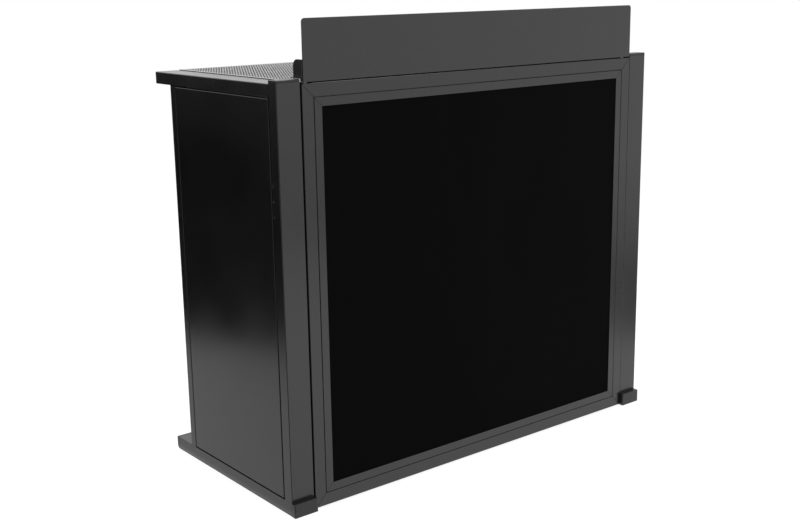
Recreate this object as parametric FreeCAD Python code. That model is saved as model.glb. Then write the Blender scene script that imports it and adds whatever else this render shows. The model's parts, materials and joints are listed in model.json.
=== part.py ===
import FreeCAD, Part
import math
import os

# A free-standing DJ booth: a front panel of stretched cloth, two side wings that fold
# flat behind it, a perforated tabletop that rests on the wings, and a header sheet.
# X runs along the front, Y rearwards, Z up. The origin is the middle of the footprint.

V = FreeCAD.Vector

# Overall sizes
overall_width = 1219.0
overall_depth = 576.0
post_height = 1024.0

# Tubes of the side wings
post_width = 63.5
post_depth = 32.0
rear_post_depth = 25.0
rear_post_setback = 78.0
post_above_rail = 8.0
rail_height = 30.0
rail_setback = 4.0
foot_top = 34.0
tube_wall = 1.5
tube_edge = 2.0
foot_edge = 0.6

# Plastic caps and the rubber sole of a wing
cap_thickness = 3.0
post_cap_thickness = 6.0
cap_edge = 1.2
cap_seam = 0.5
plug_depth = 14.0
plug_clearance = 0.3
toe_reach = 14.0
toe_overhang = 1.5
toe_edge = 3.0
toe_chamfer = 1.2
toe_lift = 0.5
heel_length = 10.0
heel_round = 9.0
strip_thickness = 1.0
strip_inset = 1.0

# Ledge on a top rail's inner face, which carries the tabletop's edge
ledge_width = 8.0
ledge_thickness = 2.0
ledge_end_gap = 8.0

# Side panel, a folded tray of sheet
panel_gap = 3.0
panel_top_gap = 3.0
panel_sheet = 1.2
panel_return = 18.0
panel_bend = 1.5
panel_rivet_radius = 1.6
panel_rivet_head = 3.2
panel_rivet_head_height = 1.0
panel_washer = 4.5
panel_rivet_rows = 2
panel_rivet_margin = 160.0

# Front frame and the bezel inside it
frame_gap = 2.5
frame_proud = 2.0
frame_bottom = 3.0
post_above_frame = 10.5
member_width = 31.0
mitre_gap = 0.95
frame_edge = 1.2
fin_thickness = 2.0
bezel_groove = 1.5
bezel_mitre_gap = 0.6
bezel_width = 20.6
bezel_depth = 8.0
bezel_wall = 2.0
bezel_flange = 14.0
bezel_edge = 0.6
key_leg = 60.0
key_thickness = 10.0
key_clearance = 0.2
screw_radius = 2.0
screw_head = 3.8
screw_head_height = 2.2
screws_per_side = 3

# Stretched cloth and the welts that hold its edge
scrim_thickness = 0.8
scrim_tuck = 16.0
welt_width = 10.0
welt_end_gap = 4.0

# Hinges between the frame and the front posts
hinge_inset = 260.0
hinge_length = 110.0
hinge_knuckles = 3
hinge_leaf = 2.0
hinge_leaf_width = 36.0
hinge_pin_radius = 2.5
hinge_lift = 0.3
hinge_side_gap = 0.5
knuckle_gap = 0.2
pin_clearance = 0.05
pin_head_radius = 4.0
pin_head_height = 2.0
plate_thickness = 2.0
plate_width = 12.0
rivet_radius = 2.2
rivet_pitch = 36.0
rivet_count = 3
rivet_edge = 4.5
rivet_tail = 1.5
rivet_tail_radius = 2.8

# Tabletop
sheet_thickness = 1.5
sheet_side_gap = 1.0
sheet_setback = 2.0
sheet_corner = 4.0
header_clearance = 4.0
hole_diameter = 5.0
hole_pitch = 7.5
hole_side_margin = 12.0
hole_front_margin = 46.0
hole_rear_margin = 20.0
hole_enlarged = 12
lip_height = 20.0
lip_thickness = 3.0
fold_clearance = 5.0
stiffener_width = 30.0
stiffener_height = 15.0
stiffener_wall = 1.5
stiffener_end_gap = 6.0
pad_margin = 3.0
pad_width = 6.0
pad_inset = 15.0

# Header, its brackets and the thumb screws
header_gap = 3.5
header_height = 138.0
header_sheet = 2.0
header_inset = 6.0
header_top_corner = 8.0
header_bottom_corner = 4.0
bracket_sheet = 2.0
bracket_overhang = 2.0
bracket_tab_reach = 34.0
bracket_tab_height = 48.5
bracket_tab_corner = 16.0
bracket_foot_width = 32.0
bracket_foot_reach = 47.0
bracket_foot_rise = 6.5
bracket_foot_corner = 2.0
bracket_bend = 7.0
bracket_leg = 0.5
bracket_boss_radius = 6.5
bracket_flange_width = 20.0
bracket_flange_corner = 6.0
thumb_radius = 9.0
thumb_height = 10.0
thumb_collar_radius = 6.0
thumb_collar_height = 2.0
thumb_shank_radius = 2.5
thumb_shank_end = 4.0
thumb_lobes = 6
thumb_flute_depth = 1.6
thumb_bore_clearance = 0.3
nut_radius = 4.5
nut_flange_radius = 7.0
nut_flange_height = 1.0
nut_length = 13.0
nut_clearance = 0.1
hole_clearance = 0.1

# Flats of the small round bars and bores, and of the hinge knuckles and pins
fastener_flat_count = 8
knuckle_flat_count = 12

# Planes worked out from the sizes above; an x here is a distance from the middle plane
outer_x = overall_width / 2
inner_x = outer_x - post_width
frame_half = inner_x - frame_gap
toe_y = -overall_depth / 2
heel_y = overall_depth / 2
front_y = toe_y + toe_reach
post_rear_y = front_y + post_depth
rail_rear_y = heel_y - rail_setback
rear_post_rear_y = heel_y - rear_post_setback
rear_post_front_y = rear_post_rear_y - rear_post_depth
rail_top = post_height - post_above_rail
rail_bottom = rail_top - rail_height
frame_front_y = front_y - frame_proud
frame_depth = post_depth + frame_proud
frame_top = post_height - post_above_frame
frame_width = 2 * frame_half
frame_height = frame_top - frame_bottom
frame_mid_z = (frame_top + frame_bottom) / 2
bezel_offset = member_width + bezel_groove
fin_y = frame_front_y + bezel_depth
scrim_y = frame_front_y + bezel_wall
flange_y = fin_y - bezel_wall
hinge_heights = (frame_bottom + hinge_inset, frame_top - hinge_inset)
knuckle_radius = hinge_pin_radius + hinge_leaf
pivot_x = inner_x - frame_gap / 2
pivot_y = post_rear_y + knuckle_radius + hinge_lift
sheet_low = rail_top
sheet_top = sheet_low + sheet_thickness
sheet_half = inner_x - sheet_side_gap
sheet_front_y = frame_front_y + header_clearance
sheet_rear_y = rail_rear_y - sheet_setback
header_end = inner_x - header_inset
header_bottom = frame_top + header_gap
header_top = header_bottom + header_height
bracket_top = sheet_top + bracket_foot_rise + bracket_sheet
bracket_end = header_end + bracket_overhang
thumb_x = bracket_end - bracket_foot_width / 2
thumb_y = frame_front_y + frame_depth / 2

sides = {"left": -1, "right": 1}
nodes = {}


def box(x, y, z):
    size = (x[1] - x[0], y[1] - y[0], z[1] - z[0])
    return Part.makeBox(size[0], size[1], size[2], V(x[0], y[0], z[0]))


# The X range between two distances from the middle plane, on one side of the object
def across(side, near, far):
    return tuple(sorted((side * near, side * far)))


def grown(span, by):
    return (span[0] - by, span[1] + by)


# Edges that run along one axis and pass the given test on their middle point
def edges_along(shape, axis, test=None):
    chosen = []
    for edge in shape.Edges:
        step = edge.Vertexes[-1].Point - edge.Vertexes[0].Point
        if step.Length > 0 and abs(step.normalize().dot(axis)) > 0.999:
            middle = edge.BoundBox.Center
            if test is None or test(middle):
                chosen.append(edge)
    return chosen


def edges_at(shape, test):
    return [edge for edge in shape.Edges if test(edge.BoundBox)]


def near(a, b):
    return abs(a - b) < 1e-6


def joined(shapes):
    first = shapes[0]
    rest = shapes[1:]
    return first.fuse(rest).removeSplitter() if rest else first


axes = {"x": V(1, 0, 0), "y": V(0, 1, 0), "z": V(0, 0, 1)}


# Rectangular tube with rounded long edges
def tube(x, y, z, axis, edge=tube_edge):
    solid = box(x, y, z)
    solid = solid.makeFillet(edge, edges_along(solid, axes[axis]))
    spans = {"x": x, "y": y, "z": z}
    hollow = {name: span if name == axis else grown(span, -tube_wall) for name, span in spans.items()}
    return solid.cut(box(hollow["x"], hollow["y"], hollow["z"]))


# Plug of a cap: fills the tube's bore, less a clearance, over the given stretch of its axis
def plug(x, y, z, axis):
    inset = -(tube_wall + plug_clearance)
    spans = {"x": x, "y": y, "z": z}
    inside = {name: span if name == axis else grown(span, inset) for name, span in spans.items()}
    return box(inside["x"], inside["y"], inside["z"])


# Closed outline carried straight along a vector
def prism(corners, along):
    return Part.Face(Part.makePolygon(corners + corners[:1])).extrude(along)


# Round bar, whose corners lie on the radius
def rod(radius, start, end, flats=fastener_flat_count):
    along = end - start
    first = V(1, 0, 0) if abs(along.z) > along.Length / 2 else V(0, 0, 1)
    second = along.cross(first).normalize()
    corners = []
    for step in range(flats):
        angle = 2 * math.pi * (step + 0.5) / flats
        corners.append(start + first * (radius * math.cos(angle)) + second * (radius * math.sin(angle)))
    return prism(corners, along)


# Bore, whose flats lie on the radius, so that a bar of that radius turns in it
def bore(radius, start, end, flats=fastener_flat_count):
    return rod(radius / math.cos(math.pi / flats), start, end, flats)


# Front post, its cap, and the backing plate with three flush rivets behind the upper hinge
def front_post(name, side):
    x = across(side, inner_x, outer_x)
    y = (front_y, post_rear_y)
    tube_end = post_height - post_cap_thickness
    post = tube(x, y, (foot_top, tube_end), "z")
    cap = box(x, y, (tube_end, post_height))
    cap = cap.makeFillet(tube_edge, edges_along(cap, axes["z"]))
    cap = cap.makeChamfer(cap_edge, edges_at(cap, lambda b: near(b.ZMin, post_height)))
    cap = cap.makeChamfer(cap_seam, edges_at(cap, lambda b: near(b.ZMax, tube_end)))
    cap = joined([cap, plug(x, y, (tube_end - plug_depth, tube_end), "z")])

    rivet_y = post_rear_y - rivet_edge
    plate_x = across(side, outer_x - tube_wall - plate_thickness, outer_x - tube_wall)
    plate_y = (post_rear_y - tube_wall - plate_width, post_rear_y - tube_wall)
    middle = hinge_heights[-1]
    plate = box(plate_x, plate_y, (middle - hinge_length / 2, middle + hinge_length / 2))
    rivets = []
    holes = []
    for step in range(rivet_count):
        z = middle + (step - (rivet_count - 1) / 2) * rivet_pitch
        skin = V(side * outer_x, rivet_y, z)
        tail = V(side * (outer_x - tube_wall - plate_thickness), rivet_y, z)
        end = tail - V(side * rivet_tail, 0, 0)
        rivets.append(joined([rod(rivet_radius, skin, tail), rod(rivet_tail_radius, tail, end)]))
        holes.append(bore(rivet_radius + hole_clearance, skin, tail))
    nodes[name + "_front_post"] = post.cut(holes)
    nodes[name + "_post_cap"] = cap
    nodes[name + "_hinge_plate"] = plate.cut(holes)
    nodes[name + "_hinge_rivets"] = Part.makeCompound(rivets)


# Rails and rear post of a wing, with their end caps and the rubber sole
def wing_rails(name, side):
    x = across(side, inner_x, outer_x)
    rail_z = (rail_bottom, rail_top)
    rail_end = rail_rear_y - cap_thickness
    nodes[name + "_top_rail"] = tube(x, (post_rear_y, rail_end), rail_z, "y")
    cap = box(x, (rail_end, rail_rear_y), rail_z)
    cap = cap.makeFillet(tube_edge, edges_along(cap, axes["y"]))
    cap = cap.makeChamfer(cap_edge, edges_at(cap, lambda b: near(b.YMin, rail_rear_y)))
    ledge_x = across(side, inner_x - ledge_width, inner_x)
    ledge_y = (post_rear_y + ledge_end_gap, rail_end - ledge_end_gap)
    nodes[name + "_table_ledge"] = box(ledge_x, ledge_y, (sheet_low - ledge_thickness, sheet_low))
    nodes[name + "_rail_cap"] = joined([cap, plug(x, (rail_end - plug_depth, rail_end), rail_z, "y")])

    rear_y = (rear_post_front_y, rear_post_rear_y)
    nodes[name + "_rear_post"] = tube(x, rear_y, (foot_top, rail_bottom), "z")

    foot_z = (strip_thickness, foot_top)
    heel_start = heel_y - heel_length
    nodes[name + "_foot_rail"] = tube(x, (front_y, heel_start), foot_z, "y", foot_edge)
    toe = box(grown(x, toe_overhang), (toe_y, front_y), (toe_lift, foot_top + toe_overhang))
    toe = toe.makeFillet(toe_edge, edges_along(toe, axes["z"], lambda m: near(m.y, toe_y)))
    rim = edges_at(toe, lambda b: near(b.ZMin, b.ZMax) and not near(b.YMin, front_y))
    toe = toe.makeChamfer(toe_chamfer, rim)
    nodes[name + "_toe_cap"] = joined([toe, plug(x, (front_y, front_y + plug_depth), foot_z, "y")])
    heel = box(x, (heel_start, heel_y), foot_z)
    low_edge = edges_along(heel, axes["x"], lambda m: near(m.y, heel_y) and near(m.z, strip_thickness))
    heel = heel.makeFillet(heel_round, low_edge)
    heel = joined([heel, plug(x, (heel_start - plug_depth, heel_start), foot_z, "y")])
    nodes[name + "_heel_cap"] = heel
    sole_y = grown((front_y, heel_start), -strip_inset)
    nodes[name + "_foot_strip"] = box(grown(x, -strip_inset), sole_y, (0, strip_thickness))


# Side panel: a tray open to the inside, flush with the posts, riveted to both of them, with a rim
# at its inner edge that closes the gap round it
def side_panel(name, side):
    x = across(side, outer_x - panel_return, outer_x)
    y = grown((post_rear_y, rear_post_front_y), -panel_gap)
    z = (foot_top + panel_gap, rail_bottom - panel_top_gap)
    skin_x = side * outer_x
    tray = box(x, y, z)
    skin_edges = edges_at(tray, lambda b: near(b.XMin, skin_x) and near(b.XMax, skin_x))
    tray = tray.makeFillet(panel_bend, skin_edges)
    hollow_x = across(side, outer_x - panel_return, outer_x - panel_sheet)
    hollow = box(hollow_x, grown(y, -panel_sheet), grown(z, -panel_sheet))
    floor_x = side * (outer_x - panel_sheet)
    bend = panel_bend - panel_sheet
    if bend > 0:
        floor_edges = edges_at(hollow, lambda b: near(b.XMin, floor_x) and near(b.XMax, floor_x))
        hollow = hollow.makeFillet(bend, floor_edges)
    inner = outer_x - panel_return
    rim_x = across(side, inner, inner + panel_sheet)
    rim = box(rim_x, (post_rear_y, rear_post_front_y), (foot_top, rail_bottom))
    tray = joined([tray.cut(hollow), rim.cut(hollow)])

    rivets = []
    holes = []
    rivet_x = side * (outer_x - panel_return / 2)
    low = z[0] + panel_rivet_margin
    step = (z[1] - z[0] - 2 * panel_rivet_margin) / (panel_rivet_rows - 1)
    for face_y, inward in ((post_rear_y, 1), (rear_post_front_y, -1)):
        for row in range(panel_rivet_rows):
            at = V(rivet_x, face_y, low + row * step)
            along = V(0, inward, 0)
            tail = at - along * tube_wall
            head = at + along * (panel_gap + panel_sheet)
            rivet = joined([
                rod(panel_rivet_radius, tail, head),
                rod(panel_washer, at, at + along * panel_gap),
                rod(panel_rivet_head, head, head + along * panel_rivet_head_height),
            ])
            rivets.append(rivet)
            holes.append(bore(panel_rivet_radius + hole_clearance, tail, head))
    nodes[name + "_side_panel"] = tray.cut(holes)
    nodes[name + "_panel_rivets"] = Part.makeCompound(rivets)
    for post in ("_front_post", "_rear_post"):
        nodes[name + post] = nodes[name + post].cut(holes)


# One leaf of a butt hinge: a plate on the rear face, with tongues that roll into knuckles
def hinge_leaf_solid(side, toward, middle, own):
    low = middle - hinge_length / 2
    segment = hinge_length / hinge_knuckles
    face = (post_rear_y, post_rear_y + hinge_leaf)
    root = pivot_x + toward * (knuckle_radius + hinge_side_gap)
    tip = pivot_x + toward * hinge_leaf_width
    pieces = [box(across(side, root, tip), face, (low, low + hinge_length))]
    for index in own:
        z = grown((low + index * segment, low + (index + 1) * segment), -knuckle_gap / 2)
        axis_low = V(side * pivot_x, pivot_y, z[0])
        axis_high = V(side * pivot_x, pivot_y, z[1])
        pieces.append(box(across(side, pivot_x, root), face, z))
        pieces.append(rod(knuckle_radius, axis_low, axis_high, knuckle_flat_count))
    pin_low = V(side * pivot_x, pivot_y, low)
    pin_high = pin_low + V(0, 0, hinge_length)
    return joined(pieces).cut(bore(hinge_pin_radius + pin_clearance, pin_low, pin_high, knuckle_flat_count))


def hinges(name, side):
    frame_leaves = []
    post_leaves = []
    pins = []
    for middle in hinge_heights:
        frame_leaves.append(hinge_leaf_solid(side, -1, middle, range(0, hinge_knuckles, 2)))
        post_leaves.append(hinge_leaf_solid(side, 1, middle, range(1, hinge_knuckles, 2)))
        low = V(side * pivot_x, pivot_y, middle - hinge_length / 2 + knuckle_gap / 2)
        high = low + V(0, 0, hinge_length - knuckle_gap)
        head = rod(pin_head_radius, high, high + V(0, 0, pin_head_height), knuckle_flat_count)
        pins.append(joined([rod(hinge_pin_radius, low, high, knuckle_flat_count), head]))
    nodes[name + "_hinge_frame_leaves"] = Part.makeCompound(frame_leaves)
    nodes[name + "_hinge_post_leaves"] = Part.makeCompound(post_leaves)
    nodes[name + "_hinge_pins"] = Part.makeCompound(pins)


# A bar along X with its outer edge at z = 0, both ends cut at 45 degrees, half the gap short
def mitred(bar, length, reach, gap):
    y = bar.BoundBox.YMin - 1
    depth = bar.BoundBox.YLength + 2
    end = length / 2 - gap / math.sqrt(2)
    corners = [V(-end, y, 0), V(end, y, 0), V(end - reach, y, -reach), V(reach - end, y, -reach)]
    bar.translate(V(-length / 2, 0, 0))
    return bar.common(prism(corners, V(0, depth, 0)))


# Closed outline in the YZ plane
def section_face(points):
    corners = [V(0, y, z) for y, z in points]
    return Part.Face(Part.makePolygon(corners + corners[:1]))


# Turns a member from the top of the frame to the given edge
def placed(member, edge):
    turns = {"top": 0, "right": 90, "bottom": 180, "left": -90}
    seats = {
        "top": V(0, 0, frame_top),
        "right": V(frame_half, 0, frame_mid_z),
        "bottom": V(0, 0, frame_bottom),
        "left": V(-frame_half, 0, frame_mid_z),
    }
    shape = member.copy()
    shape.rotate(V(0, 0, 0), V(0, 1, 0), turns[edge])
    shape.translate(seats[edge])
    return shape


def edge_length(edge):
    return frame_width if edge in ("top", "bottom") else frame_height


# Places of the bezel screws along a member
def screw_places(length):
    usable = length - 2 * (bezel_offset + bezel_flange)
    pitch = usable / screws_per_side
    return [(index - (screws_per_side - 1) / 2) * pitch for index in range(screws_per_side)]


def frame_member(edge):
    length = edge_length(edge)
    y = (frame_front_y, frame_front_y + frame_depth)
    bar = box((0, length), y, (-member_width, 0))
    bar = bar.makeFillet(frame_edge, edges_along(bar, axes["x"]))
    hollow = box((0, length), grown(y, -tube_wall), grown((-member_width, 0), -tube_wall))
    fin_tip = bezel_offset + bezel_flange
    fin = box((0, length), (fin_y, fin_y + fin_thickness), (-fin_tip, -member_width))
    bar = mitred(joined([bar.cut(hollow), fin]), length, fin_tip, mitre_gap)
    return placed(bar.cut(screw_bores(length)), edge)


# Bores for the bezel screws, through the fin and the bezel's rear flange
def screw_bores(length):
    z = -(bezel_offset + (bezel_wall + bezel_flange) / 2)
    bores = []
    for x in screw_places(length):
        start = V(x, flange_y, z)
        bores.append(bore(screw_radius + hole_clearance, start, V(x, fin_y + fin_thickness, z)))
    return bores


def bezel_screws(edge):
    length = edge_length(edge)
    z = -(bezel_offset + (bezel_wall + bezel_flange) / 2)
    back = fin_y + fin_thickness
    screws = []
    for x in screw_places(length):
        shank = rod(screw_radius, V(x, flange_y, z), V(x, back, z))
        head = rod(screw_head, V(x, back, z), V(x, back + screw_head_height, z))
        screws.append(placed(joined([shank, head]), edge))
    return screws


# C-section bezel: front face, outer web and rear flange, with a channel open to the cloth
def bezel_member(edge):
    length = edge_length(edge) - 2 * bezel_offset
    face = (frame_front_y, frame_front_y + bezel_wall)
    outline = [
        (face[0], 0),
        (fin_y, 0),
        (fin_y, -bezel_flange),
        (flange_y, -bezel_flange),
        (flange_y, -bezel_wall),
        (face[1], -bezel_wall),
        (face[1], -bezel_width),
        (face[0], -bezel_width),
    ]
    bar = section_face(outline).extrude(V(length, 0, 0))
    front_edges = edges_along(bar, axes["x"], lambda m: near(m.y, face[0]))
    bar = mitred(bar.makeFillet(bezel_edge, front_edges), length, bezel_width, bezel_mitre_gap)
    bar.translate(V(0, 0, -bezel_offset))
    return placed(bar.cut(screw_bores(edge_length(edge))), edge)


# L-shaped cleats that key the mitred corners together inside the tubes
def corner_keys():
    inset = tube_wall + key_clearance
    width = member_width - 2 * inset
    y = (frame_front_y + tube_wall, frame_front_y + tube_wall + key_thickness)
    keys = []
    for side in (-1, 1):
        for up, edge_z in ((-1, frame_top), (1, frame_bottom)):
            corner = edge_z + up * inset
            tall = tuple(sorted((corner, corner + up * key_leg)))
            short = tuple(sorted((corner, corner + up * width)))
            tip = frame_half - inset
            leg_z = box(across(side, tip - width, tip), y, tall)
            leg_x = box(across(side, tip - key_leg, tip), y, short)
            keys.append(joined([leg_x, leg_z]))
    return Part.makeCompound(keys)


# The cloth, tucked behind the bezel's face, and the four welts that fill the channel
def cloth():
    tuck = bezel_offset + bezel_width - scrim_tuck
    x = grown((-frame_half, frame_half), -tuck)
    z = grown((frame_bottom, frame_top), -tuck)
    y = (scrim_y, scrim_y + scrim_thickness)
    nodes["scrim"] = box(x, y, z)
    welt_y = (y[1], flange_y)
    flat_x = grown(x, -(welt_width + welt_end_gap))
    welts = [
        box((x[0], x[0] + welt_width), welt_y, z),
        box((x[1] - welt_width, x[1]), welt_y, z),
        box(flat_x, welt_y, (z[0], z[0] + welt_width)),
        box(flat_x, welt_y, (z[1] - welt_width, z[1])),
    ]
    nodes["scrim_welts"] = Part.makeCompound(welts)


def front_panel():
    screws = []
    for edge in ("top", "bottom", "left", "right"):
        nodes["frame_" + edge] = frame_member(edge)
        nodes["bezel_" + edge] = bezel_member(edge)
        screws += bezel_screws(edge)
    nodes["bezel_screws"] = Part.makeCompound(screws)
    nodes["frame_corner_keys"] = corner_keys()
    cloth()


# Rivet nuts in the frame's top and the rubber strip that the tabletop lies on
def table_seat():
    nuts = []
    nut_bores = []
    for side in sides.values():
        top = V(side * thumb_x, thumb_y, frame_top)
        foot = top - V(0, 0, nut_length)
        rim = top + V(0, 0, nut_flange_height)
        body = joined([rod(nut_radius, foot, top), rod(nut_flange_radius, top, rim)])
        nuts.append(body.cut(bore(thumb_shank_radius + pin_clearance, foot, rim)))
        nut_bores.append(bore(nut_radius + nut_clearance, foot, top))
    nodes["thumb_nuts"] = Part.makeCompound(nuts)
    nodes["frame_top"] = nodes["frame_top"].cut(nut_bores)
    pad_rear = post_rear_y - pad_margin
    pad_x = grown((-frame_half, frame_half), -pad_inset)
    nodes["table_front_pad"] = box(pad_x, (pad_rear - pad_width, pad_rear), (frame_top, sheet_low))


# Centres of the openings: the staggered rows of the fine perforation, enlarged, with the same
# share of open area, in the middle of the field that the margins leave
def hole_centres():
    across_hole = hole_enlarged * hole_diameter
    pitch = hole_enlarged * hole_pitch
    row_pitch = pitch * math.sqrt(3) / 2
    low_y = sheet_front_y + hole_front_margin
    high_y = sheet_rear_y - hole_rear_margin
    rows = int((high_y - low_y - across_hole) / row_pitch) + 1
    columns = int((2 * (sheet_half - hole_side_margin) - across_hole) / pitch) + 1
    centres = []
    for row in range(rows):
        y = (low_y + high_y) / 2 + (row - (rows - 1) / 2) * row_pitch
        count = columns - row % 2
        for column in range(count):
            centres.append(V((column - (count - 1) / 2) * pitch, y, sheet_low))
    return centres


# Perforated sheet that drops in between the posts, its rear lip and its middle stiffener
def tabletop():
    z = (sheet_low, sheet_top)
    sheet = box((-sheet_half, sheet_half), (sheet_front_y, sheet_rear_y), z)
    sheet = sheet.makeFillet(sheet_corner, edges_along(sheet, axes["z"], lambda m: near(m.y, sheet_rear_y)))
    cuts = []
    for side in sides.values():
        low = V(side * thumb_x, thumb_y, sheet_low)
        cuts.append(bore(thumb_shank_radius + thumb_bore_clearance, low, low + V(0, 0, sheet_thickness)))
    radius = hole_enlarged * hole_diameter / 2
    for centre in hole_centres():
        cuts.append(bore(radius, centre, centre + V(0, 0, sheet_thickness)))
    nodes["table_sheet"] = sheet.cut(Part.makeCompound(cuts))

    # The lip stops short of the arc that a folding rail's outer rear corner sweeps
    lip_z = (sheet_low - lip_height, sheet_low)
    lip_y = (sheet_rear_y - lip_thickness, sheet_rear_y)
    sweep = math.hypot(outer_x - pivot_x, rail_rear_y - pivot_y)
    swept = math.sqrt(sweep ** 2 - (lip_y[0] - pivot_y) ** 2)
    lip_half = pivot_x - swept - fold_clearance
    nodes["table_rear_lip"] = box((-lip_half, lip_half), lip_y, lip_z)

    half = stiffener_width / 2
    long_y = grown((pivot_y, lip_y[0]), -stiffener_end_gap)
    channel_z = (sheet_low - stiffener_height, sheet_low)
    channel = box((-half, half), long_y, channel_z)
    bore_z = (channel_z[0], sheet_low - stiffener_wall)
    nodes["table_stiffener"] = channel.cut(box(grown((-half, half), -stiffener_wall), long_y, bore_z))


# Header sheet in front of the tabletop's edge
def header():
    back_y = frame_front_y
    plate = box((-header_end, header_end), (back_y - header_sheet, back_y), (header_bottom, header_top))
    top_edges = edges_along(plate, axes["y"], lambda m: near(m.z, header_top))
    plate = plate.makeFillet(header_top_corner, top_edges)
    low_edges = edges_along(plate, axes["y"], lambda m: near(m.z, header_bottom))
    nodes["header_panel"] = plate.makeFillet(header_bottom_corner, low_edges)


# Bent bracket at a header end: flange on the header's back, upright tab, and a foot that bends
# rearwards over the tabletop and stands on a boss round the thumb screw
def header_bracket(name, side):
    back_y = frame_front_y
    foot_low = bracket_top - bracket_sheet
    leg_low = bracket_top - bracket_bend - bracket_leg
    tab_top = sheet_top + bracket_tab_height
    tab_rear = back_y + bracket_tab_reach
    tab_x = across(side, bracket_end - bracket_sheet, bracket_end)
    tab = box(tab_x, (back_y, tab_rear), (foot_low, tab_top))
    corner = edges_along(tab, axes["x"], lambda m: near(m.y, tab_rear) and near(m.z, tab_top))
    tab = tab.makeFillet(bracket_tab_corner, corner)
    tooth = box(tab_x, (back_y, back_y + bracket_bend), (leg_low, foot_low))

    foot_x = across(side, bracket_end - bracket_foot_width, bracket_end)
    foot_rear = back_y + bracket_foot_reach
    foot = box(foot_x, (back_y, foot_rear), (leg_low, bracket_top))
    foot = foot.cut(box(foot_x, (back_y + bracket_sheet, foot_rear), (leg_low, foot_low)))
    corners = edges_along(foot, axes["z"], lambda m: near(m.y, foot_rear))
    foot = foot.makeFillet(bracket_foot_corner, corners)
    outer_bend = edges_along(foot, axes["x"], lambda m: near(m.y, back_y) and near(m.z, bracket_top))
    foot = foot.makeFillet(bracket_bend, outer_bend)
    inner_y = back_y + bracket_sheet
    inner_bend = edges_along(foot, axes["x"], lambda m: near(m.y, inner_y) and near(m.z, foot_low))
    foot = foot.makeFillet(bracket_bend - bracket_sheet, inner_bend)

    flange_x = across(side, bracket_end - bracket_flange_width, bracket_end)
    flange = box(flange_x, (back_y, back_y + bracket_sheet), (leg_low, tab_top))
    inner_edge = side * (bracket_end - bracket_flange_width)
    corner = edges_along(flange, axes["y"], lambda m: near(m.x, inner_edge) and near(m.z, tab_top))
    flange = flange.makeFillet(bracket_flange_corner, corner)

    low = V(side * thumb_x, thumb_y, sheet_top)
    high = V(side * thumb_x, thumb_y, bracket_top)
    boss = rod(bracket_boss_radius, low, V(side * thumb_x, thumb_y, foot_low))
    bracket = joined([tab, tooth, foot, flange, boss])
    nodes[name + "_header_bracket"] = bracket.cut(bore(thumb_shank_radius + thumb_bore_clearance, low, high))


# Lobed thumb screw that clamps bracket and tabletop to the frame
def thumb_screw(name, side):
    seat = V(side * thumb_x, thumb_y, bracket_top)
    end = V(side * thumb_x, thumb_y, frame_top - nut_length - thumb_shank_end)
    collar_top = seat + V(0, 0, thumb_collar_height)
    outline = []
    for step in range(2 * thumb_lobes):
        angle = math.pi * step / thumb_lobes
        reach = thumb_radius - (step % 2) * thumb_flute_depth
        outline.append(collar_top + V(math.cos(angle), math.sin(angle), 0) * reach)
    head = prism(outline, V(0, 0, thumb_height))
    collar = rod(thumb_collar_radius, seat, collar_top)
    nodes[name + "_thumb_screw"] = joined([head, collar, rod(thumb_shank_radius, end, seat)])


front_panel()
table_seat()
tabletop()
header()
for side_name, side_sign in sides.items():
    front_post(side_name, side_sign)
    wing_rails(side_name, side_sign)
    side_panel(side_name, side_sign)
    hinges(side_name, side_sign)
    header_bracket(side_name, side_sign)
    thumb_screw(side_name, side_sign)

os.makedirs("parts", exist_ok=True)
for node, shape in nodes.items():
    shape.exportStep("parts/" + node + ".step")
print(len(nodes), "nodes")
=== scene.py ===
import json
import math
import bpy
import numpy as np
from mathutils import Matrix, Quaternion, Vector


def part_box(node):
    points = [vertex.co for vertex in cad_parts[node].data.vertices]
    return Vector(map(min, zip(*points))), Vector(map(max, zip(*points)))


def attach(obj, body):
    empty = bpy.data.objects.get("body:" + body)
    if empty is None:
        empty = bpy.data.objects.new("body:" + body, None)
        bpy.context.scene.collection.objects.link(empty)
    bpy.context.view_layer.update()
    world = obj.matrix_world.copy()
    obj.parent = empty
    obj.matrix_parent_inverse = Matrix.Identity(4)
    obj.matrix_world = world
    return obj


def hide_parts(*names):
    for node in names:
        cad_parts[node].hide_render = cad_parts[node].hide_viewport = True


# A folding DJ booth in satin black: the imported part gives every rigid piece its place,
# and this script gives the finishes, the perforated top, the cloth and the small hardware.
# Metres, X along the front, Y rearwards, Z up.

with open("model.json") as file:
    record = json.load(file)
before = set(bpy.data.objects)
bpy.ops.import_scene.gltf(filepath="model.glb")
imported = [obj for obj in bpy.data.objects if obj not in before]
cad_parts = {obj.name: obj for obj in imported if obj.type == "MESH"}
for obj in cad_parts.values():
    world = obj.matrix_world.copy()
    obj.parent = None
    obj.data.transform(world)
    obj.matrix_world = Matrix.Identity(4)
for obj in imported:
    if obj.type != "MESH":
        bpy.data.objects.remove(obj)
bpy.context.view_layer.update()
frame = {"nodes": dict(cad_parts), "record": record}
sides = {"left": -1, "right": 1}
print("frame loaded:", len(frame["nodes"]), "nodes")


# Shader nodes

noiseSpan = (0.3, 0.7)      # most values of a noise texture
sumSpan = (0.7, 1.3)        # most sums of two of them


def addNode(tree, kind, settings=None, **modes):
    made = tree.nodes.new("ShaderNode" + kind)
    for mode, value in modes.items():
        setattr(made, mode, value)
    for socket, value in (settings or {}).items():
        made.inputs[socket].default_value = value
    return made


def newFinish(name, settings):
    material = bpy.data.materials.new(name)
    material.use_nodes = True
    tree = material.node_tree
    shader = tree.nodes["Principled BSDF"]
    for socket, value in settings.items():
        shader.inputs[socket].default_value = value
    place = addNode(tree, "TexCoord").outputs["Object"]
    return material, tree, shader, place


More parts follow.
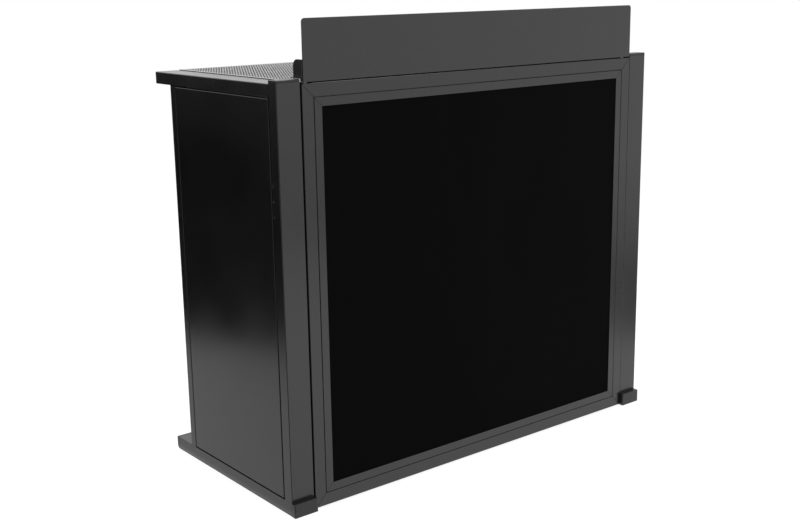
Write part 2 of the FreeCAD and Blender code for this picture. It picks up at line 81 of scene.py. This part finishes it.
# Soft lumps about 1/scale metres across, drawn out along an axis whose stretch is below 1
def lumps(tree, place, scale, detail=2, stretch=(1, 1, 1)):
    stretched = addNode(tree, "Mapping", {"Scale": stretch})
    noise = addNode(tree, "TexNoise", {"Scale": scale, "Detail": detail})
    tree.links.new(place, stretched.inputs["Vector"])
    tree.links.new(stretched.outputs["Vector"], noise.inputs["Vector"])
    return noise.outputs["Fac"]


# Takes a value from its own span to the one from low to high
def spread(tree, value, low, high, span=noiseSpan):
    settings = {"From Min": span[0], "From Max": span[1], "To Min": low, "To Max": high}
    made = addNode(tree, "MapRange", settings)
    tree.links.new(value, made.inputs["Value"])
    return made.outputs["Result"]


# A colour between two greys, chosen by a value
def greyBetween(tree, value, dark, pale):
    ramp = addNode(tree, "ValToRGB")
    first, last = ramp.color_ramp.elements
    first.position, last.position = noiseSpan
    first.color = (*dark, 1)
    last.color = (*pale, 1)
    tree.links.new(value, ramp.inputs["Fac"])
    return ramp.outputs["Color"]


def combined(tree, kind, first, second):
    made = addNode(tree, "Math", operation=kind)
    tree.links.new(first, made.inputs[0])
    tree.links.new(second, made.inputs[1])
    return made.outputs["Value"]


# Colour, roughness and relief of a finish, each from a value that varies over the surface
def dress(tree, shader, look, shade, wear, relief):
    tree.links.new(greyBetween(tree, shade, look["dark"], look["pale"]), shader.inputs["Base Color"])
    tree.links.new(spread(tree, wear, *look["gloss"]), shader.inputs["Roughness"])
    bump = addNode(tree, "Bump", {"Strength": look["bump"], "Distance": look["depth"]})
    tree.links.new(relief, bump.inputs["Height"])
    tree.links.new(bump.outputs["Normal"], shader.inputs["Normal"])


# Satin black powder coat: an orange peel of millimetre lumps, a finer grain, and slow drifts of gloss
coatLumps = {"drift": 7, "grain": 2600}
coats = {
    "powder_coat": {"dark": (0.0045, 0.0045, 0.0048), "pale": (0.0075, 0.0075, 0.0078),
                    "gloss": (0.22, 0.29), "peel": 420, "depth": 0.00006, "bump": 0.35, "ior": 1.6},
    "panel_coat": {"dark": (0.0045, 0.0045, 0.0047), "pale": (0.007, 0.007, 0.0072),
                   "gloss": (0.20, 0.25), "peel": 300, "depth": 0.00004, "bump": 0.35, "ior": 1.58},
    "perforated_coat": {"dark": (0.0045, 0.0045, 0.0048), "pale": (0.0075, 0.0075, 0.0078),
                        "gloss": (0.12, 0.18), "peel": 500, "depth": 0.00002, "bump": 0.35, "ior": 1.6},
    "rivet_black": {"dark": (0.045, 0.045, 0.046), "pale": (0.062, 0.062, 0.063),
                    "gloss": (0.42, 0.52), "peel": 900, "depth": 0.00004, "bump": 0.35, "ior": 1.55},
}


def coatFinish(slot):
    look = coats[slot]
    material, tree, shader, place = newFinish(slot, {"IOR": look["ior"]})
    drift = lumps(tree, place, coatLumps["drift"], detail=3)
    grain = lumps(tree, place, coatLumps["grain"], detail=1)
    peel = lumps(tree, place, look["peel"])
    shade = spread(tree, combined(tree, "ADD", drift, grain), *noiseSpan, sumSpan)
    dress(tree, shader, look, shade, drift, peel)
    return material


# Moulded black plastic and rubber: a spark-eroded grain, a little greyer where it stands up
mouldDrift = 30
mouldings = {
    "cap_plastic": {"dark": (0.004, 0.004, 0.0043), "pale": (0.008, 0.008, 0.0083),
                    "gloss": (0.32, 0.42), "grain": 1500, "depth": 0.00005, "bump": 0.4, "ior": 1.5},
    "knob_plastic": {"dark": (0.008, 0.008, 0.0085), "pale": (0.013, 0.013, 0.0135),
                     "gloss": (0.38, 0.48), "grain": 1900, "depth": 0.00004, "bump": 0.4, "ior": 1.5},
    "rubber": {"dark": (0.004, 0.004, 0.004), "pale": (0.008, 0.008, 0.0078),
               "gloss": (0.68, 0.82), "grain": 1100, "depth": 0.00009, "bump": 0.4, "ior": 1.5},
}


def mouldedFinish(slot):
    look = mouldings[slot]
    material, tree, shader, place = newFinish(slot, {"IOR": look["ior"]})
    grain = lumps(tree, place, look["grain"])
    drift = lumps(tree, place, mouldDrift, detail=3)
    dress(tree, shader, look, grain, drift, grain)
    return material


# Bare metal: plated steel with a cloudy bloom, or blackened steel brushed along Z
metals = {
    "zinc_steel": {"dark": (0.46, 0.47, 0.49), "pale": (0.66, 0.66, 0.65), "gloss": (0.28, 0.42),
                   "brush": (1, 1, 1), "bloom": 160, "depth": 0.00003, "bump": 0.3},
    "hinge_steel": {"dark": (0.045, 0.045, 0.048), "pale": (0.085, 0.085, 0.088), "gloss": (0.32, 0.44),
                    "brush": (1, 1, 0.03), "bloom": 1200, "depth": 0.00003, "bump": 0.3},
}


def metalFinish(slot):
    look = metals[slot]
    material, tree, shader, place = newFinish(slot, {"Metallic": 1.0})
    bloom = lumps(tree, place, look["bloom"], detail=3, stretch=look["brush"])
    dress(tree, shader, look, bloom, bloom, bloom)
    return material


# Milky silicone strip, with faint extrusion lines
siliconeLook = {"dark": (0.60, 0.60, 0.58), "pale": (0.70, 0.70, 0.68), "gloss": (0.42, 0.55),
                "lines": 700, "draw": (1, 0.05, 1), "depth": 0.00005, "bump": 0.3,
                "milk": 0.25, "milkReach": 0.002, "ior": 1.43}


def siliconeFinish():
    look = siliconeLook
    settings = {"Subsurface Weight": look["milk"], "Subsurface Scale": look["milkReach"],
                "IOR": look["ior"]}
    material, tree, shader, place = newFinish("silicone", settings)
    lines = lumps(tree, place, look["lines"], stretch=look["draw"])
    dress(tree, shader, look, lines, lines, lines)
    return material


# Matt black stretch knit: the product of wales up the cloth and courses across it, with a fuzz of loose
# fibre added, and faint pulls of uneven tension drawn up the cloth
knit = {"wale": 0.0011, "course": 0.0009, "waver": 0.6, "fuzz": 2400,
        "pulls": 9, "pullDraw": (1, 1, 0.25),
        "dark": (0.0006, 0.0006, 0.0007), "pale": (0.0018, 0.0018, 0.0019), "gloss": (0.82, 0.95),
        "pileSpan": (0.3, 1.4), "pileShade": (0.35, 0.65), "pullShade": (0.8, 1.2),
        "depth": 0.00025, "bump": 0.5, "shine": 0.025, "sheen": 0.016, "sheenSpread": 0.6, "ior": 1.45}
wavePeriod = 2 * math.pi / 20        # of a wave texture at scale 1


def ribs(tree, place, spacing, axis):
    settings = {"Scale": wavePeriod / spacing, "Distortion": knit["waver"]}
    wave = addNode(tree, "TexWave", settings, bands_direction=axis, wave_profile="SIN")
    tree.links.new(place, wave.inputs["Vector"])
    return wave.outputs["Fac"]


def knitFinish():
    settings = {"Specular IOR Level": knit["shine"], "Sheen Weight": knit["sheen"],
                "Sheen Roughness": knit["sheenSpread"], "IOR": knit["ior"]}
    material, tree, shader, place = newFinish("cloth", settings)
    wales = ribs(tree, place, knit["wale"], "X")
    courses = ribs(tree, place, knit["course"], "Z")
    fuzz = lumps(tree, place, knit["fuzz"], detail=3)
    pulls = lumps(tree, place, knit["pulls"], detail=4, stretch=knit["pullDraw"])
    pile = combined(tree, "ADD", combined(tree, "MULTIPLY", wales, courses), fuzz)
    shade = combined(tree, "MULTIPLY", spread(tree, pile, *knit["pileShade"], knit["pileSpan"]),
                     spread(tree, pulls, *knit["pullShade"]))
    dress(tree, shader, knit, shade, fuzz, pile)
    return material


finishes = {slot: coatFinish(slot) for slot in coats}
finishes.update({slot: mouldedFinish(slot) for slot in mouldings})
finishes.update({slot: metalFinish(slot) for slot in metals})
finishes["silicone"] = siliconeFinish()
finishes["cloth"] = knitFinish()

# The corner keys take the blackened hinge steel in place of their own finish: painted shade, so that the
# mitre gaps read as dark lines
paintedShadeSlots = {"frame_corner_keys": "hinge_steel"}
for subpart in frame["record"]["subparts"]:
    mesh = frame["nodes"][subpart["node"]].data
    mesh.materials.clear()
    mesh.materials.append(finishes[paintedShadeSlots.get(subpart["node"], subpart["material_slot"])])
print("finishes made:", len(finishes))


# Meshes from arrays of points and four-cornered faces

def quadMesh(name, points, quads, smoothAngle=None):
    mesh = bpy.data.meshes.new(name)
    mesh.vertices.add(len(points))
    mesh.vertices.foreach_set("co", np.asarray(points, np.float32).ravel())
    mesh.loops.add(quads.size)
    mesh.loops.foreach_set("vertex_index", np.asarray(quads, np.int32).ravel())
    mesh.polygons.add(len(quads))
    mesh.polygons.foreach_set("loop_start", np.arange(0, quads.size, 4, dtype=np.int32))
    mesh.update(calc_edges=True)
    mesh.validate()
    smooth = smoothAngle is not None
    mesh.polygons.foreach_set("use_smooth", np.full(len(mesh.polygons), smooth))
    if smooth:
        mesh.set_sharp_from_angle(angle=math.radians(smoothAngle))
    return mesh


def addPiece(name, mesh, body, slot, stands=()):
    piece = bpy.data.objects.new(name, mesh)
    bpy.context.scene.collection.objects.link(piece)
    mesh.materials.append(finishes[slot])
    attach(piece, body)
    if stands:
        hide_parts(*stands)
    return piece


# Angles of one full turn in equal steps
def fullTurn(count):
    return np.arange(count) * 2 * np.pi / count


# Perforated tabletop. Points lie on a lattice of half pitches, so each hole's cell is two by two
# squares of it, and rows set half a pitch over still share every lattice point.
perforation = {"pitch": 0.0075, "holeRadius": 0.00285, "frontMargin": 0.046, "rearMargin": 0.020,
               "sideMargin": 0.012, "corner": 0.004, "thumbBore": 0.0027, "strips": 3,
               "underside": 0.0001}       # held off the rails, which slide under it as a wing folds
ringSides = 8        # a hole's ring has one side for each lattice neighbour
around = fullTurn(ringSides)
stepX = np.rint(np.cos(around) * math.sqrt(2)).astype(int)
stepY = np.rint(np.sin(around) * math.sqrt(2)).astype(int)


# One closed strip of sheet: lattice squares, and for each hole a ring of eight faces out to its
# lattice neighbours, on both faces, with the walls of the holes and the rim between them.
def perforatedStrip(flatX, flatY, holeX, holeY, holeRadius, low, high):
    rows, columns = flatX.shape
    ringX = flatX[holeY, holeX][:, None] + holeRadius[:, None] * np.cos(around)
    ringY = flatY[holeY, holeX][:, None] + holeRadius[:, None] * np.sin(around)
    allX = np.concatenate([flatX.ravel(), ringX.ravel()])
    allY = np.concatenate([flatY.ravel(), ringY.ravel()])
    count = len(allX)
    top = np.stack([allX, allY, np.full(count, high)], -1)
    bottom = np.stack([allX, allY, np.full(count, low)], -1)

    outer = (holeY[:, None] + stepY) * columns + holeX[:, None] + stepX
    inner = rows * columns + np.arange(ringSides * len(holeX)).reshape(-1, ringSides)
    outerNext, innerNext = np.roll(outer, -1, 1), np.roll(inner, -1, 1)
    rings = np.stack([outer, outerNext, innerNext, inner], -1).reshape(-1, 4)
    walls = np.stack([inner, innerNext, innerNext + count, inner + count], -1).reshape(-1, 4)

    free = np.ones((rows - 1, columns - 1), bool)
    for backY in (0, 1):
        for backX in (0, 1):
            free[holeY - backY, holeX - backX] = False
    squareY, squareX = np.nonzero(free)
    corner = squareY * columns + squareX
    squares = np.stack([corner, corner + 1, corner + columns + 1, corner + columns], -1)

    index = np.arange(rows * columns).reshape(rows, columns)
    rim = np.concatenate([index[0, :-1], index[:-1, -1], index[-1, :0:-1], index[:0:-1, 0]])
    rimNext = np.roll(rim, -1)
    rimFaces = np.stack([rim, rim + count, rimNext + count, rimNext], -1)

    upper = np.concatenate([squares, rings])
    quads = np.concatenate([upper, upper[:, ::-1] + count, walls, rimFaces])
    used, quads = np.unique(quads, return_inverse=True)
    return np.concatenate([top, bottom])[used], quads.reshape(-1, 4)


def perforatedTop():
    low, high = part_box("table_sheet")
    pitch = perforation["pitch"]
    rowPitch = pitch * math.sqrt(3) / 2
    corner = perforation["corner"]
    halfCount = int((high.x - perforation["sideMargin"]) / pitch)
    firstRow = low.y + perforation["frontMargin"]
    rowCount = int((high.y - perforation["rearMargin"] - firstRow) / rowPitch) + 1
    thumbLow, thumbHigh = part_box("right_thumb_screw")
    thumb = (thumbLow + thumbHigh) / 2

    fieldX = np.arange(-2 * halfCount - 1, 2 * halfCount + 2) * pitch / 2
    fieldY = firstRow + np.arange(-1, 2 * rowCount) * rowPitch / 2
    boreY = thumb.y + np.array([-1, 0, 1]) * pitch / 2
    lineX = np.concatenate([[low.x, low.x + corner], fieldX, [high.x - corner, high.x]])
    lineY = np.concatenate([[low.y, low.y + corner], boreY, fieldY, [high.y - corner, high.y]])
    edgeLines = 2                                # lines of the margin, before the bores and the field
    boreRow = edgeLines + 1
    firstX, firstY = edgeLines, edgeLines + len(boreY)

    # The outer corners are drawn in to the middle of their arc
    flatX, flatY = np.meshgrid(lineX, lineY)
    drawn = corner * (1 - math.sqrt(0.5))
    flatX[[0, -1], 0] += drawn
    flatX[[0, -1], -1] -= drawn
    flatY[0, [0, -1]] += drawn
    flatY[-1, [0, -1]] -= drawn

    # Even rows hold one hole more than odd rows, which are set over by half a pitch
    row, column = np.meshgrid(np.arange(rowCount), np.arange(2 * halfCount + 1), indexing="ij")
    kept = (row % 2 == 0) | (column < 2 * halfCount)
    row, column = row[kept], column[kept]
    holeX = firstX + 1 + 2 * column + row % 2
    holeY = firstY + 1 + 2 * row
    holeRadius = np.full(len(holeX), perforation["holeRadius"])
    boreX = np.abs(lineX[:, None] - np.array([-thumb.x, thumb.x])).argmin(0)
    flatX[boreRow, boreX] = [-thumb.x, thumb.x]
    holeX = np.concatenate([holeX, boreX])
    holeY = np.concatenate([holeY, np.full(len(boreX), boreRow)])
    holeRadius = np.concatenate([holeRadius, np.full(len(boreX), perforation["thumbBore"])])

    cuts = firstY + 2 * (rowCount * np.arange(1, perforation["strips"]) // perforation["strips"])
    bounds = [0, *cuts, len(lineY) - 1]
    for number, (start, end) in enumerate(zip(bounds[:-1], bounds[1:]), 1):
        name = "tableStrip" + str(number)
        inside = (holeY > start) & (holeY < end)
        points, quads = perforatedStrip(flatX[start:end + 1], flatY[start:end + 1], holeX[inside],
                                        holeY[inside] - start, holeRadius[inside],
                                        low.z + perforation["underside"], high.z)
        addPiece(name, quadMesh(name, points, quads), "tabletop", "perforated_coat", ["table_sheet"])
    print("tabletop:", len(holeX), "holes")


perforatedTop()


# Stretched cloth: a flat sheet whose depth ripples by a fraction of a millimetre, a sine across times a
# sine up, faded to nothing at its held edge by the root of one half wave across times one up
scrimLook = {"cells": (72, 66), "ripple": 0.0003, "waves": (5, 3), "thickness": 0.0006, "smooth": 60}


def stretchedScrim():
    low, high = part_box("scrim")
    cellsX, cellsZ = scrimLook["cells"]
    wavesX, wavesZ = scrimLook["waves"]
    across, up = np.meshgrid(np.linspace(0, 1, cellsX + 1), np.linspace(0, 1, cellsZ + 1))
    fade = np.sqrt(np.sin(np.pi * across) * np.sin(np.pi * up))
    ripple = np.sin(2 * np.pi * wavesX * across) * np.sin(2 * np.pi * wavesZ * up)
    middle = (low.y + high.y) / 2
    points = np.stack([low.x + across * (high.x - low.x), middle + scrimLook["ripple"] * fade * ripple,
                       low.z + up * (high.z - low.z)], -1)
    rows, columns = across.shape
    index = np.arange(rows * columns).reshape(rows, columns)
    quads = np.stack([index[:-1, :-1], index[:-1, 1:], index[1:, 1:], index[1:, :-1]], -1).reshape(-1, 4)
    mesh = quadMesh("scrimCloth", points.reshape(-1, 3), quads, scrimLook["smooth"])
    piece = addPiece("scrimCloth", mesh, "front_panel", "cloth", ["scrim"])
    wall = piece.modifiers.new("thickness", "SOLIDIFY")
    wall.thickness = scrimLook["thickness"]
    wall.offset = 0


stretchedScrim()
print("cloth stretched")


# Turned pieces. Each ring of points has a height along the axis and a radius for every angle, the rings
# are joined by four-cornered faces, and both ends are flat. One shape is repeated at every seat.
turnedSmooth = 35        # degrees, past which an edge stays sharp


def turnedMesh(name, radius, height, seats, axis="z"):
    rings, count = radius.shape
    angle = fullTurn(count)
    flat = np.stack([radius * np.cos(angle), radius * np.sin(angle),
                     np.broadcast_to(height, radius.shape)], -1).reshape(-1, 3)
    if axis == "y":
        flat = flat[:, [1, 2, 0]]
    index = np.arange(rings * count).reshape(rings, count)
    onward = np.roll(index, -1, 1)
    walls = np.stack([index[:-1], onward[:-1], onward[1:], index[1:]], -1).reshape(-1, 4)
    ends = np.stack([index[0, ::-1], index[-1]])
    start = np.arange(len(seats))[:, None, None] * len(flat)
    faces = (start + walls).reshape(-1, 4).tolist() + (start + ends).reshape(-1, count).tolist()
    points = np.asarray(seats)[:, None] + flat
    mesh = bpy.data.meshes.new(name)
    mesh.from_pydata(points.reshape(-1, 3).tolist(), [], faces)
    mesh.polygons.foreach_set("use_smooth", np.ones(len(faces), bool))
    mesh.set_sharp_from_angle(angle=math.radians(turnedSmooth))
    return mesh


# Thumb screws: a six-lobed knob with a dished top on a collar, and a shank whose radius follows a
# triangle wave of height less angle, which is the thread
knob = {"lobes": 6, "flute": 0.0016, "around": 72,
        "height": (0.0, 0.002, 0.002, 0.0028, 0.0105, 0.0114, 0.0119, 0.012, 0.0116),
        "radius": (0.006, 0.006, 0.0082, 0.009, 0.009, 0.0085, 0.0076, 0.0050, 0.0042),
        "lobed": (0, 0, 1, 1, 1, 1, 0.9, 0.1, 0)}
thread = {"radius": 0.0025, "depth": 0.0004, "pitch": 0.0008, "steps": 6, "around": 20}


def thumbScrew(side):
    low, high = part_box(side + "_thumb_screw")
    seat = ((low.x + high.x) / 2, (low.y + high.y) / 2, high.z - max(knob["height"]))
    flute = knob["flute"] * (0.5 - 0.5 * np.cos(knob["lobes"] * fullTurn(knob["around"])))
    radius = np.array(knob["radius"])[:, None] - np.array(knob["lobed"])[:, None] * flute
    mesh = turnedMesh(side + "ThumbKnob", radius, np.array(knob["height"])[:, None], [seat])
    addPiece(side + "ThumbKnob", mesh, side + "_thumb", "knob_plastic", [side + "_thumb_screw"])

    length = seat[2] - low.z
    height = np.linspace(-length, 0, round(thread["steps"] * length / thread["pitch"]))[:, None]
    turns = height / thread["pitch"] - np.arange(thread["around"]) / thread["around"]
    groove = np.abs(2 * (turns % 1) - 1)
    mesh = turnedMesh(side + "ThumbThread", thread["radius"] - thread["depth"] * groove, height, [seat])
    addPiece(side + "ThumbThread", mesh, side + "_thumb", "zinc_steel", [side + "_thumb_screw"])


# Hinge screws, in a row down each leaf of the four hinges: low domed heads, whose last rings make the
# socket, a hexagon's reach over the cosine of the angle from the middle of each flat
hingeScrew = {"fromEdge": 0.0155, "leaf": 0.002, "fromEnd": 0.019, "pitch": 0.036, "rows": 3,
              "around": 24,
              "height": (0.0, 0.0006, 0.0014, 0.0019, 0.0021, 0.0021, 0.0009),
              "radius": (0.0038, 0.0038, 0.0034, 0.0026, 0.0019, 0.0014, 0.0014),
              "socketFlats": 6, "socketRings": 2}


def hingeScrews(side, leaves, body, outward):
    low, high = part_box(side + "_hinge_" + leaves + "_leaves")
    edge = high.x if outward < 0 else low.x
    rows = hingeScrew["fromEnd"] + np.arange(hingeScrew["rows"]) * hingeScrew["pitch"]
    levels = np.concatenate([low.z + rows, high.z - rows])
    seats = np.stack([np.full(len(levels), edge + outward * hingeScrew["fromEdge"]),
                      np.full(len(levels), low.y + hingeScrew["leaf"]), levels], -1)
    angle = fullTurn(hingeScrew["around"])
    sector = 2 * np.pi / hingeScrew["socketFlats"]
    hexagon = math.cos(sector / 2) / np.cos((angle + sector / 2) % sector - sector / 2)
    radius = np.repeat(np.array(hingeScrew["radius"])[:, None], hingeScrew["around"], 1)
    radius[-hingeScrew["socketRings"]:] *= hexagon
    name = side + "Hinge" + leaves.capitalize() + "Screws"
    mesh = turnedMesh(name, radius, np.array(hingeScrew["height"])[:, None], seats, "y")
    addPiece(name, mesh, body, "hinge_steel")


for side, sign in sides.items():
    thumbScrew(side)
    hingeScrews(side, "frame", "front_panel", sign)
    hingeScrews(side, "post", side + "_wing", -sign)
print("screws set")


# Studio: a pale floor that whitens out with distance, a plain sky, two soft lamps, and cards that show
# only in the gloss. Flags stand beside the left side, before its corner and in front, and cards lie on
# the floor beside the left side, before its corner and in front on the right.
studio = {"floorReach": 14.0, "floorTone": 0.82, "floorGlow": 0.80, "floorShare": 0.60, "skyFill": 0.45,
          "whiteFrom": 2.5, "whiteBy": 6.0}
lamps = {
    "keySoftbox": {"place": (-1.8, -3.4, 3.6), "aim": (0.0, 0.0, 0.6), "size": 2.6, "power": 120},
    "topSoftbox": {"place": (0.6, 0.5, 3.6), "aim": (0.0, 0.0, 0.8), "size": 2.4, "power": 70},
}
flags = {
    "sideFlag": {"x": (-1.58, -0.60), "y": (0.2, 2.3), "z": (0.0, 0.74), "tone": 0.002},
    "sideTopFlag": {"x": (-1.58, -0.60), "y": (0.2, 2.3), "z": (0.74, 1.06), "tone": 0.035},
    "cornerFlag": {"x": (-3.1, -1.5), "y": (-0.3, -2.6), "z": (0.0, 1.3), "tone": 0.15},
    "frontFlag": {"x": (-1.5, 0.0), "y": (-2.6, -3.1), "z": (0.0, 1.3), "tone": 0.15},
}
floorCards = {
    "sideCard": {"x": (-1.60, -0.62), "y": (-0.25, 2.4), "z": 0.001, "tone": 0.72},
    "cornerCard": {"x": (-2.6, -0.62), "y": (-2.9, -0.30), "z": 0.001, "tone": 0.15},
    "frontCard": {"x": (1.22, 2.00), "y": (-4.4, -0.6), "z": 0.002, "tone": 0.42},
    "frontPaleCard": {"x": (1.05, 3.2), "y": (-5.0, -0.4), "z": 0.001, "tone": 0.74},
}
white = (1, 1, 1, 1)


# One for rays that see the background straight on, in gloss or through glass, and zero for the rest
def seenRays(tree):
    path = addNode(tree, "LightPath")
    seen = combined(tree, "MAXIMUM", path.outputs["Is Camera Ray"], path.outputs["Is Glossy Ray"])
    return combined(tree, "MAXIMUM", seen, path.outputs["Is Transmission Ray"])


def stageSheet(name, points):
    quads = np.arange(4).reshape(1, 4)
    sheet = bpy.data.objects.new(name, quadMesh(name, np.array(points, float), quads))
    bpy.context.scene.collection.objects.link(sheet)
    return sheet


# A material with only its output, put on a stage sheet
def bareMaterial(sheet, name):
    material = bpy.data.materials.new(name)
    material.use_nodes = True
    tree = material.node_tree
    tree.nodes.remove(tree.nodes["Principled BSDF"])
    sheet.data.materials.append(material)
    return tree, tree.nodes["Material Output"].inputs["Surface"]


def levelCorners(spanX, spanY, z):
    (leftX, rightX), (nearY, farY) = spanX, spanY
    return [(leftX, nearY, z), (rightX, nearY, z), (rightX, farY, z), (leftX, farY, z)]


def studioFloor():
    span = (-studio["floorReach"], studio["floorReach"])
    floor = stageSheet("floor", levelCorners(span, span, 0))
    tree, surface = bareMaterial(floor, "paleFloor")
    tone = studio["floorTone"]
    paper = addNode(tree, "BsdfDiffuse", {"Color": (tone, tone, tone, 1)})
    glow = addNode(tree, "Emission", {"Color": white})
    away = addNode(tree, "VectorMath", operation="LENGTH")
    tree.links.new(addNode(tree, "TexCoord").outputs["Object"], away.inputs[0])
    fade = studio["whiteFrom"], studio["whiteBy"]
    share = spread(tree, away.outputs["Value"], studio["floorShare"], 1, fade)
    strength = spread(tree, away.outputs["Value"], studio["floorGlow"] / studio["floorShare"], 1, fade)
    tree.links.new(strength, glow.inputs["Strength"])
    mix = addNode(tree, "MixShader")
    tree.links.new(combined(tree, "MULTIPLY", seenRays(tree), share), mix.inputs["Fac"])
    tree.links.new(paper.outputs["BSDF"], mix.inputs[1])
    tree.links.new(glow.outputs["Emission"], mix.inputs[2])
    tree.links.new(mix.outputs["Shader"], surface)


def studioSky():
    world = bpy.data.worlds.new("studioSky")
    bpy.context.scene.world = world
    world.use_nodes = True
    tree = world.node_tree
    fill = tree.nodes["Background"]
    fill.inputs["Color"].default_value = white
    fill.inputs["Strength"].default_value = studio["skyFill"]
    seen = addNode(tree, "Background", {"Color": white, "Strength": 1.0})
    mix = addNode(tree, "MixShader")
    tree.links.new(seenRays(tree), mix.inputs["Fac"])
    tree.links.new(fill.outputs["Background"], mix.inputs[1])
    tree.links.new(seen.outputs["Background"], mix.inputs[2])
    tree.links.new(mix.outputs["Shader"], tree.nodes["World Output"].inputs["Surface"])


# A card of one even tone that only glossy rays see
def glossCard(name, points, tone):
    card = stageSheet(name, points)
    tree, surface = bareMaterial(card, name)
    glow = addNode(tree, "Emission", {"Color": white, "Strength": tone})
    tree.links.new(glow.outputs["Emission"], surface)
    card.visible_camera = False
    card.visible_diffuse = False
    card.visible_shadow = False


def standingFlag(name):
    look = flags[name]
    (startX, endX), (startY, endY), (lowZ, highZ) = look["x"], look["y"], look["z"]
    glossCard(name, [(startX, startY, lowZ), (endX, endY, lowZ),
                     (endX, endY, highZ), (startX, startY, highZ)], look["tone"])


def lyingCard(name):
    look = floorCards[name]
    glossCard(name, levelCorners(look["x"], look["y"], look["z"]), look["tone"])


def studioCards():
    for name in flags:
        standingFlag(name)
    for name in floorCards:
        lyingCard(name)


def softLamp(name):
    look = lamps[name]
    data = bpy.data.lights.new(name, "AREA")
    data.shape = "SQUARE"
    data.size = look["size"]
    data.energy = look["power"]
    lamp = bpy.data.objects.new(name, data)
    bpy.context.scene.collection.objects.link(lamp)
    lamp.location = look["place"]
    lamp.rotation_mode = "QUATERNION"
    lamp.rotation_quaternion = (Vector(look["aim"]) - lamp.location).to_track_quat("-Z", "Y")


studioFloor()
studioSky()
studioCards()
for name in lamps:
    softLamp(name)
print("studio lit")


# Camera where the photograph was taken from, leaning a little to the right
view = {"place": (-2.0012, -2.4501, 1.2364), "aim": (-0.0660, -0.0127, 0.4918), "roll": -0.894,
        "lens": 53.050, "sensor": 36}


def photoCamera():
    data = bpy.data.cameras.new("camera")
    data.sensor_fit = "HORIZONTAL"
    data.sensor_width = view["sensor"]
    data.lens = view["lens"]
    camera = bpy.data.objects.new("camera", data)
    bpy.context.scene.collection.objects.link(camera)
    camera.location = view["place"]
    camera.rotation_mode = "QUATERNION"
    level = (Vector(view["aim"]) - camera.location).to_track_quat("-Z", "Y")
    camera.rotation_quaternion = level @ Quaternion((0, 0, 1), math.radians(view["roll"]))
    bpy.context.scene.camera = camera


photoCamera()
bpy.context.scene.view_settings.view_transform = "Standard"
